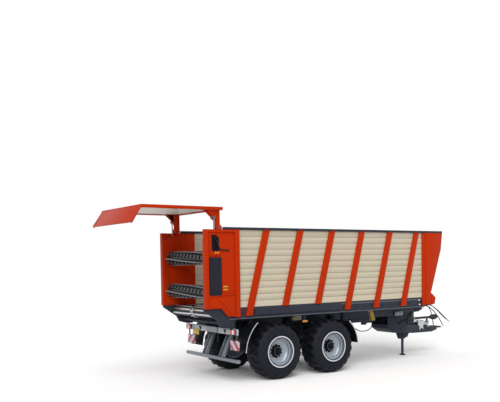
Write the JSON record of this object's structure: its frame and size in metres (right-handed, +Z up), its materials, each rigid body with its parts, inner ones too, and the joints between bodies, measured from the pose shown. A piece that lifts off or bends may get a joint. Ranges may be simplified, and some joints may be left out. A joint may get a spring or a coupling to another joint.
{
  "type": "silage trailer scale model",
  "caption": "Tandem-axle silage trailer model with boarded sides, raised tailgate, two rear beaters, front guard, drawbar and jack.",
  "frame": {"origin": "middle of the trailer's length and width, on the floor it stands on", "axes": "+X forwards to the towing eye, +Y to the left, +Z up"},
  "size_m": [0.3836, 0.0926, 0.1413],
  "materials": {
    "tyre_rubber": "matt moulded rubber",
    "rim_silver": "satin silver paint",
    "dark_paint": "satin anthracite paint",
    "orange_paint": "gloss orange-red paint",
    "cream_paint": "satin cream paint",
    "floor_paint": "satin grey paint",
    "steel_bright": "bright steel",
    "beater_paint": "satin dark grey paint",
    "black_plastic": "matt black plastic",
    "hose_rubber": "matt black hose",
    "lamp_plastic": "red lamp plastic",
    "yellow_plastic": "yellow plastic",
    "board_plastic": "red and white striped boards",
    "bar_plastic": "light grey plastic",
    "valve_brass": "dull brass"
  },
  "bodies": {
    "trailer": {"top_rails": "dark_paint", "bumper_legs": "dark_paint", "axles": "dark_paint", "springs": "dark_paint", "chassis_frame": "dark_paint", "side_sills": "dark_paint", "drive_covers": "dark_paint", "rear_frame": "dark_paint", "mudguards": "dark_paint", "front_platform": "dark_paint", "guard_frame": "dark_paint", "drawbar": "dark_paint", "hose_holder": "dark_paint", "oil_tank": "dark_paint", "jack_tube": "dark_paint", "side_posts": "orange_paint", "front_panel_left": "orange_paint", "front_panel_right": "orange_paint", "rear_panel_left": "orange_paint", "rear_panel_right": "orange_paint", "side_wall_left": "cream_paint", "side_wall_right": "cream_paint", "body_floor": "floor_paint", "scraper_slats": "steel_bright", "underrun_bumper": "steel_bright", "tow_eye": "steel_bright", "drawbar_cylinders": "steel_bright", "hose_couplings": "steel_bright", "guard_mesh": "black_plastic", "headstock": "black_plastic", "pto_shaft": "black_plastic", "hose_1": "hose_rubber", "hose_2": "hose_rubber", "hose_3": "hose_rubber", "hose_4": "hose_rubber", "brake_hose": "hose_rubber", "lamps": "lamp_plastic", "wheel_chocks": "yellow_plastic", "warning_boards": "board_plastic", "light_bar": "bar_plastic", "hydraulic_valve": "valve_brass"},
    "wheel_front_left": {"tyre_front_left": "tyre_rubber", "rim_front_left": "rim_silver"},
    "wheel_front_right": {"tyre_front_right": "tyre_rubber", "rim_front_right": "rim_silver"},
    "wheel_rear_left": {"tyre_rear_left": "tyre_rubber", "rim_rear_left": "rim_silver"},
    "wheel_rear_right": {"tyre_rear_right": "tyre_rubber", "rim_rear_right": "rim_silver"},
    "upper_beater": {"beater_upper": "beater_paint"},
    "lower_beater": {"beater_lower": "beater_paint"},
    "tailgate": {"tailgate_frame": "orange_paint", "tailgate_skin": "cream_paint"},
    "tailgate_barrels": {"tailgate_cylinders": "dark_paint"},
    "tailgate_ram_rods": {"tailgate_rods": "steel_bright"},
    "guard_flap": {"flap_frame": "dark_paint", "flap_mesh": "black_plastic"},
    "flap_barrel": {"flap_cylinder": "steel_bright"},
    "flap_ram_rod": {"flap_rod": "steel_bright"},
    "jack": {"jack_leg": "dark_paint"}
  },
  "joints": [
    {"name": "wheel_front_left_spin", "type": "hinge", "parent": "trailer", "child": "wheel_front_left", "pos_m": [-0.0009, 0.0358, 0.0231], "axis": [0, 1, 0], "continuous": true},
    {"name": "wheel_front_right_spin", "type": "hinge", "parent": "trailer", "child": "wheel_front_right", "pos_m": [-0.0009, -0.0358, 0.0231], "axis": [0, 1, 0], "continuous": true},
    {"name": "wheel_rear_left_spin", "type": "hinge", "parent": "trailer", "child": "wheel_rear_left", "pos_m": [-0.0575, 0.0358, 0.0231], "axis": [0, 1, 0], "continuous": true},
    {"name": "wheel_rear_right_spin", "type": "hinge", "parent": "trailer", "child": "wheel_rear_right", "pos_m": [-0.0575, -0.0358, 0.0231], "axis": [0, 1, 0], "continuous": true},
    {"name": "upper_beater_spin", "type": "hinge", "parent": "trailer", "child": "upper_beater", "pos_m": [-0.1168, 0, 0.1015], "axis": [0, 1, 0], "continuous": true},
    {"name": "lower_beater_spin", "type": "hinge", "parent": "trailer", "child": "lower_beater", "pos_m": [-0.1168, 0, 0.074], "axis": [0, 1, 0], "continuous": true},
    {"name": "tailgate_swing", "type": "hinge", "parent": "trailer", "child": "tailgate", "pos_m": [-0.1102, 0, 0.125], "axis": [0, 1, 0], "range_deg": [-90, 0]},
    {"name": "tailgate_ram_tilt", "type": "hinge", "parent": "trailer", "child": "tailgate_barrels", "pos_m": [-0.1117, 0, 0.093], "axis": [0, 1, 0], "range_deg": [-10.2, 0]},
    {"name": "tailgate_ram_slide", "type": "slide", "parent": "tailgate_barrels", "child": "tailgate_ram_rods", "axis": [-0.0499, 0, 0.9988], "range_m": [-0.01083, 0]},
    {"name": "guard_flap_swing", "type": "hinge", "parent": "trailer", "child": "guard_flap", "pos_m": [0.1412, 0, 0.1026], "axis": [0, 1, 0], "range_deg": [0, 54]},
    {"name": "flap_ram_tilt", "type": "hinge", "parent": "trailer", "child": "flap_barrel", "pos_m": [0.1412, 0, 0.086], "axis": [0, 1, 0], "range_deg": [0, 26]},
    {"name": "flap_ram_slide", "type": "slide", "parent": "flap_barrel", "child": "flap_ram_rod", "axis": [0.2041, 0, 0.979], "range_m": [-0.006, 0]},
    {"name": "jack_slide", "type": "slide", "parent": "trailer", "child": "jack", "axis": [0, 0, 1], "range_m": [0, 0.014]}
  ],
  "couplings": [
    {"joint": "tailgate_ram_tilt", "follows": "tailgate_swing", "ratio": 0.111},
    {"joint": "tailgate_ram_slide", "follows": "tailgate_swing", "m_per_rad": 0.006888},
    {"joint": "flap_ram_tilt", "follows": "guard_flap_swing", "ratio": 0.478},
    {"joint": "flap_ram_slide", "follows": "guard_flap_swing", "m_per_rad": -0.0063}
  ]
}
